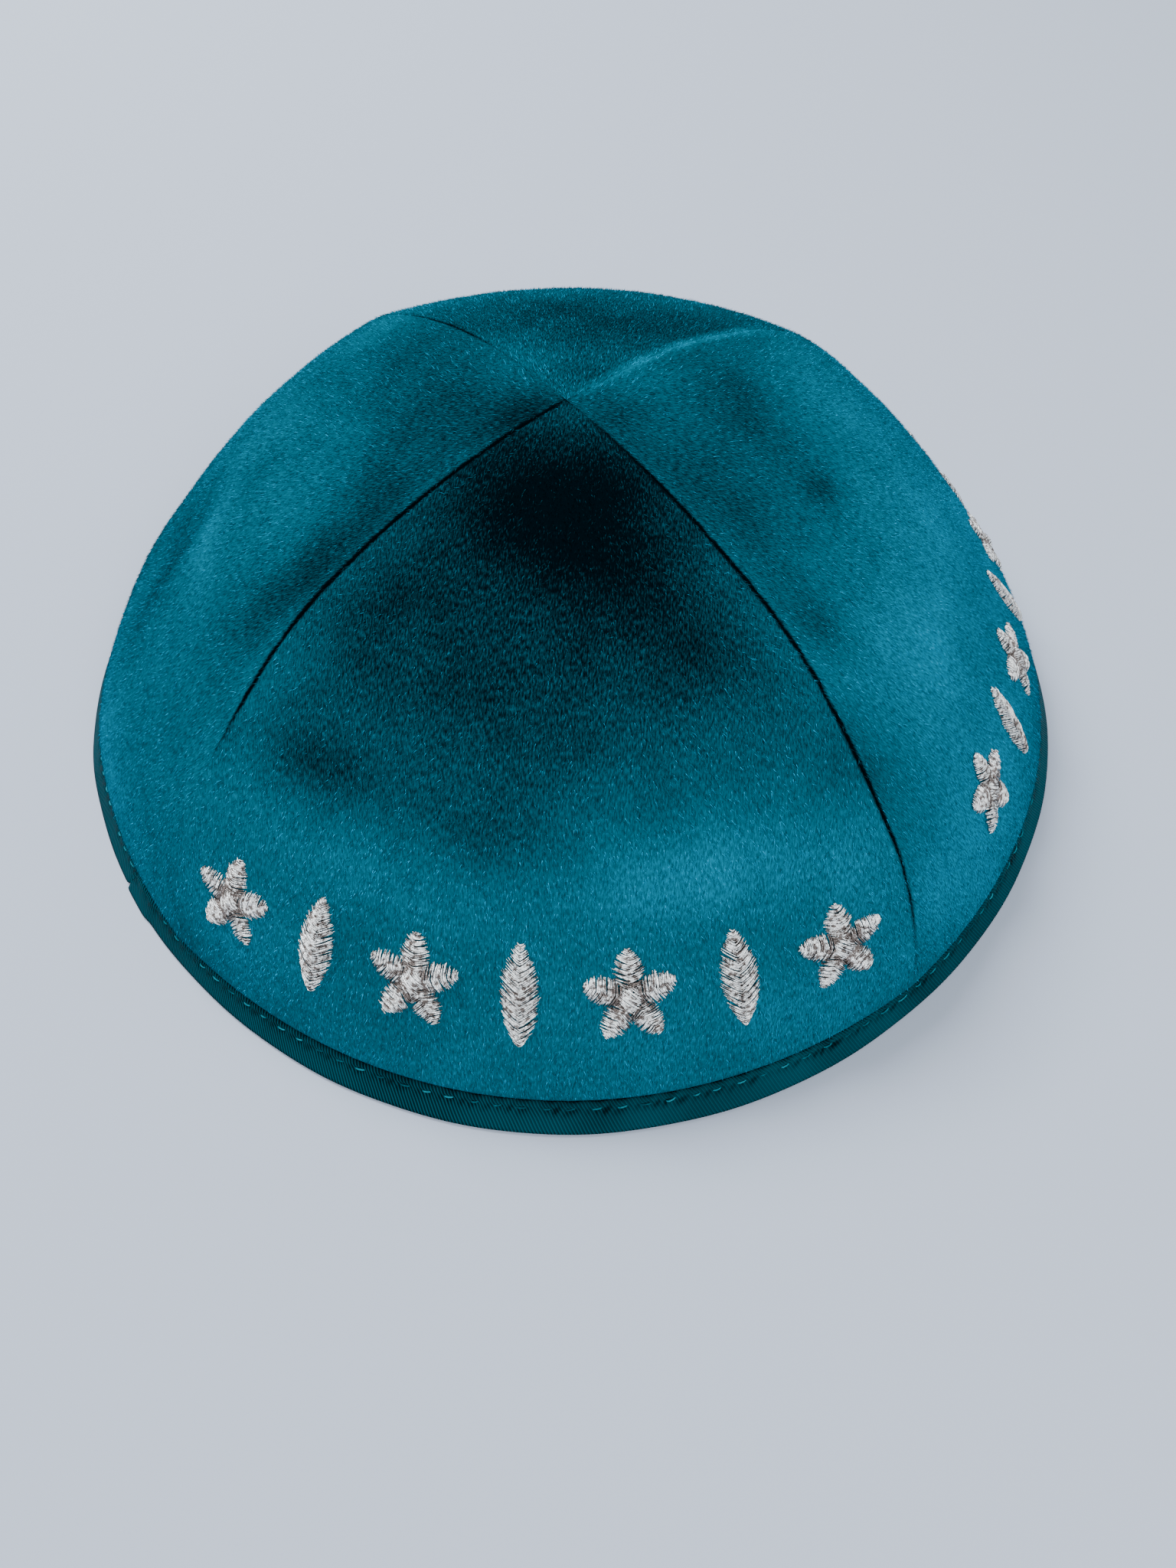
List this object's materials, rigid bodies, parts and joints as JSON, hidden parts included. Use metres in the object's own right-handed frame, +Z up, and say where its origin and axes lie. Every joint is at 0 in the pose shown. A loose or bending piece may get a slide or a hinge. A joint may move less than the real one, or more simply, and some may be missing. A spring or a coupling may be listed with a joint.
{
  "type": "kippah skullcap",
  "caption": "Round velvet skullcap of curved gores with a folded satin tape round the rim and raised silver satin stitch ornaments",
  "frame": {"origin": "centre of the rim on the surface that the cap rests on", "axes": "+Z up through the crown, -Y to the front gore, +X to the right gore"},
  "size_m": [0.17, 0.1737, 0.0549],
  "materials": {
    "velvet": "teal velvet, brushed pile with dark and bright patches",
    "satin_binding": "dark green-teal satin twill tape",
    "silver_thread": "metallic silver satin stitch"
  },
  "bodies": {
    "root": {"panel_front": "velvet", "panel_right": "velvet", "panel_back": "velvet", "panel_left": "velvet", "rim_binding": "satin_binding", "motif_front_1": "silver_thread", "motif_front_2": "silver_thread", "motif_front_3": "silver_thread", "motif_front_4": "silver_thread", "motif_front_5": "silver_thread", "motif_front_6": "silver_thread", "motif_front_7": "silver_thread", "motif_right_1": "silver_thread", "motif_right_2": "silver_thread", "motif_right_3": "silver_thread", "motif_right_4": "silver_thread", "motif_right_5": "silver_thread", "motif_right_6": "silver_thread", "motif_right_7": "silver_thread"}
  },
  "joints": []
}
